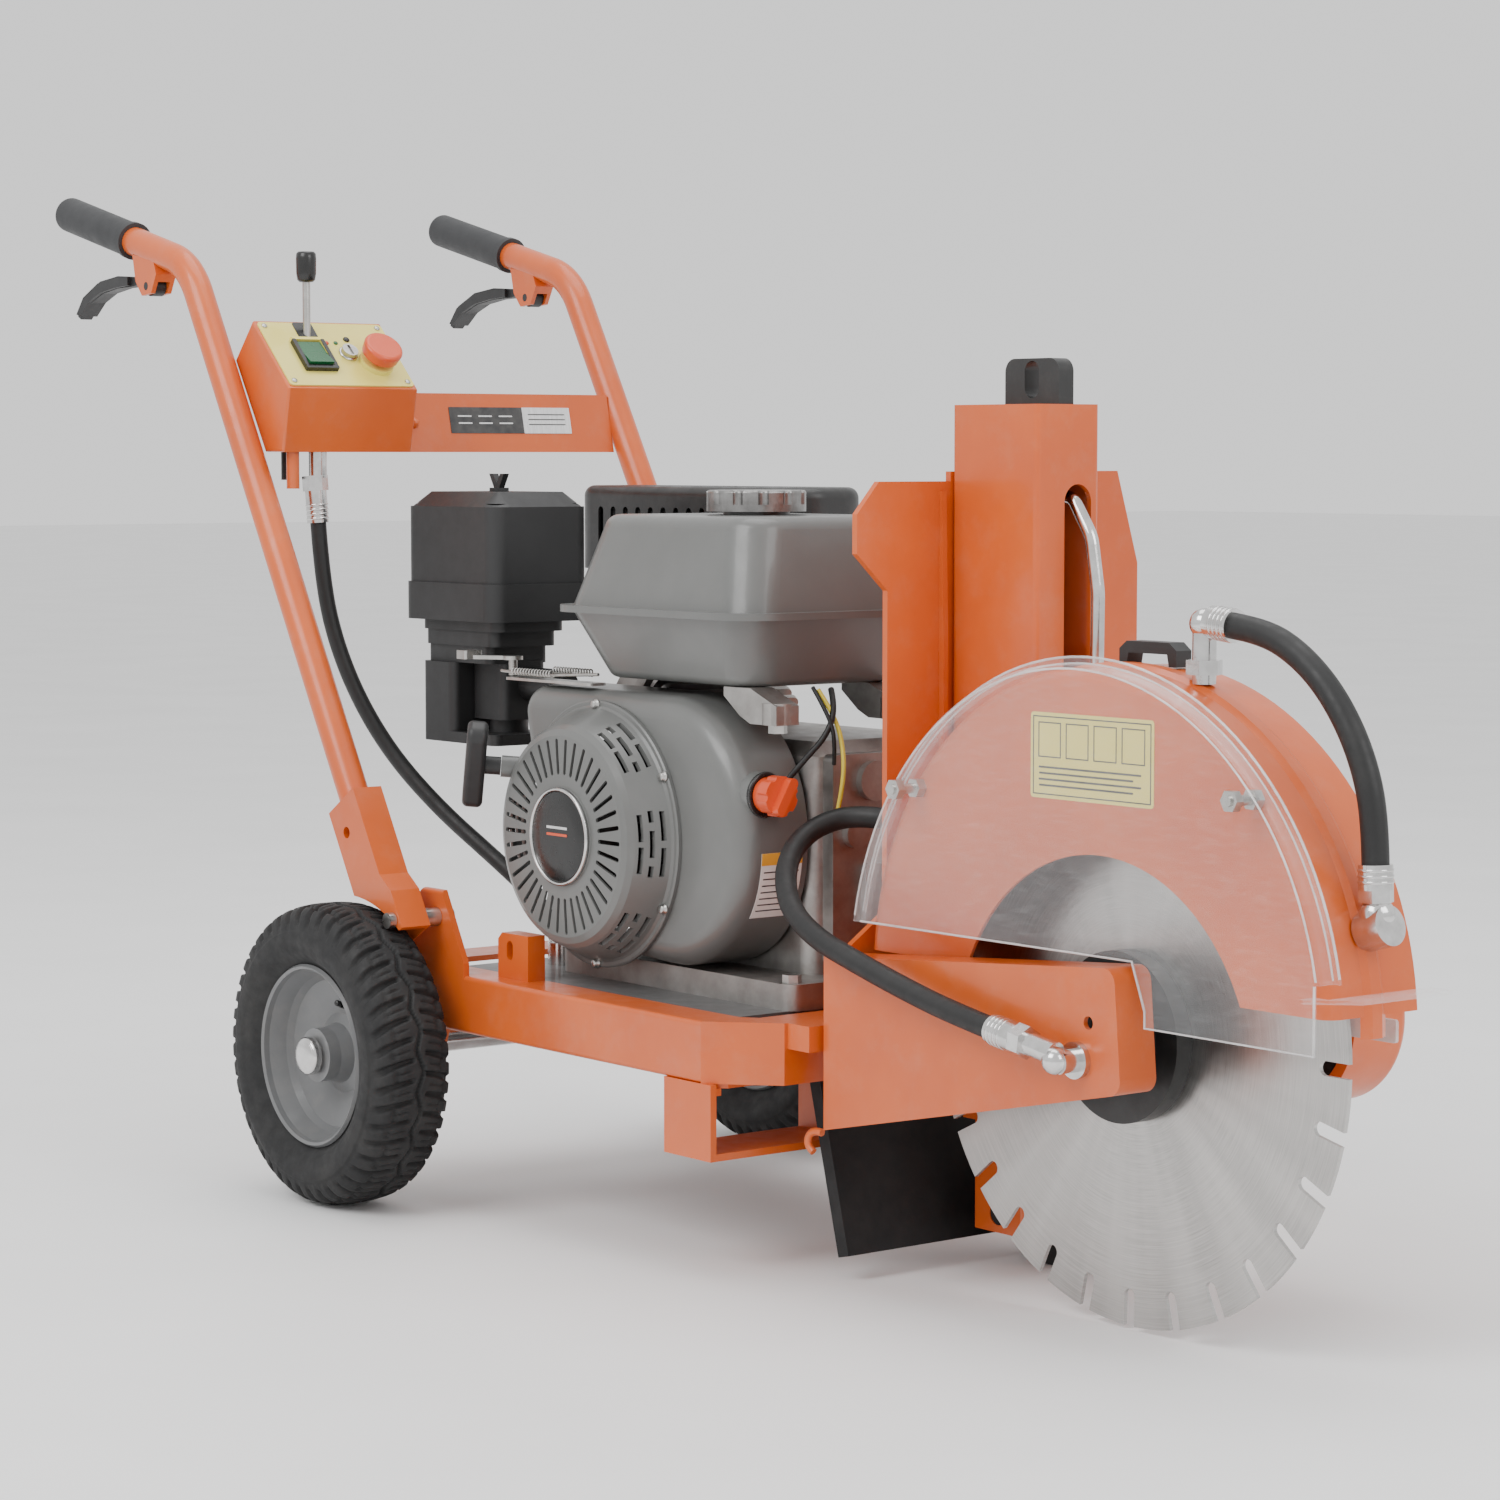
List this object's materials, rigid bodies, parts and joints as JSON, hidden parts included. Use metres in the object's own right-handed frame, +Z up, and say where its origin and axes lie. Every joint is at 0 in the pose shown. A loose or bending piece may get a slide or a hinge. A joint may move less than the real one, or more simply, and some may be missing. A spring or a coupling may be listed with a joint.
{
  "type": "walk-behind floor saw",
  "caption": "Walk-behind petrol floor saw: welded frame on two rear wheels, engine with pull starter, belt-driven slotted blade under a half-round guard with clear cover, hydraulic lift column.",
  "frame": {"origin": "on the ground, under the centre of the bounding box", "axes": "+X forward towards the blade, +Y to the machine's left, +Z up"},
  "size_m": [1.621, 0.58, 0.924],
  "materials": {
    "orange_paint": "semi-gloss powder coat",
    "engine_grey": "satin grey paint",
    "black_plastic": "matte moulded",
    "black_metal": "satin black",
    "tyre_rubber": "matte",
    "rubber": "matte",
    "chrome_fitting": "bright plated",
    "steel": "ground",
    "cast_aluminium": "as cast",
    "dark_cast": "painted",
    "yellow_plastic": "gloss",
    "red_plastic": "gloss",
    "green_plastic": "gloss, lit",
    "clear_plastic": "clear"
  },
  "bodies": {
    "chassis": {"frame_rail_right": "orange_paint", "frame_rail_left": "orange_paint", "crossmembers": "orange_paint", "right_handle_tube": "orange_paint", "left_handle_tube": "orange_paint", "crossbar": "orange_paint", "control_box": "orange_paint", "bulkhead": "orange_paint", "tower_column": "orange_paint", "near_arm": "orange_paint", "far_arm": "orange_paint", "blade_guard": "orange_paint", "belt_cover": "orange_paint", "fan_shroud": "engine_grey", "recoil_cover": "engine_grey", "fuel_tank": "engine_grey", "deck_plate": "engine_grey", "air_cleaner_cover": "black_plastic", "air_cleaner_base": "black_plastic", "handle_grips": "black_plastic", "grab_handle": "black_plastic", "lifting_eye": "black_metal", "muffler": "black_metal", "muffler_guard": "black_metal", "control_hose": "rubber", "arm_hose": "rubber", "guard_hose": "rubber", "splash_flap": "rubber", "v_belts": "rubber", "hose_fittings": "chrome_fitting", "hex_bolts": "chrome_fitting", "lift_cylinder": "chrome_fitting", "rear_axle": "steel", "crankcase": "cast_aluminium", "tank_brackets": "cast_aluminium", "bearing_housings": "dark_cast", "panel_plate": "yellow_plastic", "clear_cover": "clear_plastic"},
    "right_wheel": {"rear_tyre_right": "tyre_rubber", "rear_rim_right": "engine_grey"},
    "left_wheel": {"rear_tyre_left": "tyre_rubber", "rear_rim_left": "engine_grey"},
    "lift_post": {"front_post": "orange_paint"},
    "front_wheel_set": {"front_wheels": "tyre_rubber"},
    "arbor": {"arbor_shaft": "steel", "blade": "steel", "blade_flanges": "black_metal", "blade_pulley": "dark_cast"},
    "engine_shaft": {"crankshaft": "steel", "drive_pulley": "dark_cast"},
    "right_lever": {"right_hand_lever": "black_metal"},
    "left_lever": {"left_hand_lever": "black_metal"},
    "valve_lever": {"control_lever": "steel"},
    "rocker": {"rocker_switch": "green_plastic"},
    "e_stop": {"e_stop_button": "red_plastic"},
    "key": {"key_switch": "steel"},
    "throttle": {"throttle_lever": "steel"},
    "engine_switch_knob": {"engine_switch": "red_plastic"},
    "tank_cap": {"fuel_cap": "chrome_fitting"},
    "starter_grip": {"recoil_grip": "black_plastic"}
  },
  "joints": [
    {"name": "right_wheel_spin", "type": "hinge", "parent": "chassis", "child": "right_wheel", "pos_m": [-0.26849, -0.25, 0.135], "axis": [0, 1, 0], "continuous": true},
    {"name": "left_wheel_spin", "type": "hinge", "parent": "chassis", "child": "left_wheel", "pos_m": [-0.26849, 0.25, 0.135], "axis": [0, 1, 0], "continuous": true},
    {"name": "lift_post_slide", "type": "slide", "parent": "chassis", "child": "lift_post", "axis": [0, 0, 1], "range_m": [0, 0.075]},
    {"name": "front_wheel_spin", "type": "hinge", "parent": "lift_post", "child": "front_wheel_set", "pos_m": [0.32451, 0.088, 0.05], "axis": [0, 1, 0], "continuous": true},
    {"name": "blade_spin", "type": "hinge", "parent": "chassis", "child": "arbor", "pos_m": [0.53851, 0, 0.228], "axis": [0, 1, 0], "continuous": true},
    {"name": "engine_spin", "type": "hinge", "parent": "chassis", "child": "engine_shaft", "pos_m": [-0.04249, 0.038, 0.342], "axis": [0, 1, 0], "continuous": true},
    {"name": "right_lever_squeeze", "type": "hinge", "parent": "chassis", "child": "right_lever", "pos_m": [-0.63449, -0.221, 0.831], "axis": [0, 1, 0], "range_deg": [0, 11], "stiffness_Nm_per_rad": 0.6},
    {"name": "left_lever_squeeze", "type": "hinge", "parent": "chassis", "child": "left_lever", "pos_m": [-0.63449, 0.221, 0.831], "axis": [0, 1, 0], "range_deg": [0, 11], "stiffness_Nm_per_rad": 0.6},
    {"name": "valve_lever_tilt", "type": "hinge", "parent": "chassis", "child": "valve_lever", "pos_m": [-0.46549, -0.156, 0.758], "axis": [0, 1, 0], "range_deg": [-7, 7], "stiffness_Nm_per_rad": 1},
    {"name": "rocker_tilt", "type": "hinge", "parent": "chassis", "child": "rocker", "pos_m": [-0.44416, -0.1619, 0.76254], "axis": [0, 1, 0], "range_deg": [-2, 10]},
    {"name": "e_stop_press", "type": "slide", "parent": "chassis", "child": "e_stop", "axis": [-0.696, 0, -0.7181], "range_m": [0, 0.005]},
    {"name": "key_turn", "type": "hinge", "parent": "chassis", "child": "key", "pos_m": [-0.44699, -0.1229, 0.7625], "axis": [0.696, 0, 0.7181], "range_deg": [-60, 0]},
    {"name": "throttle_swing", "type": "hinge", "parent": "chassis", "child": "throttle", "pos_m": [-0.22849, -0.086, 0.484], "axis": [0, 0, 1], "range_deg": [0, 30]},
    {"name": "engine_switch_turn", "type": "hinge", "parent": "chassis", "child": "engine_switch_knob", "pos_m": [0.15551, -0.096, 0.388], "axis": [1, 0, 0], "range_deg": [0, 60]},
    {"name": "tank_cap_turn", "type": "hinge", "parent": "chassis", "child": "tank_cap", "pos_m": [0.03751, -0.014, 0.632], "axis": [0, 0, 1], "range_deg": [0, 90]},
    {"name": "starter_pull", "type": "slide", "parent": "chassis", "child": "starter_grip", "axis": [-0.5506, -0.8309, 0.0801], "range_m": [0, 0.45], "stiffness_N_per_m": 15}
  ],
  "couplings": [
    {"joint": "engine_spin", "follows": "blade_spin", "ratio": 1.3077}
  ]
}
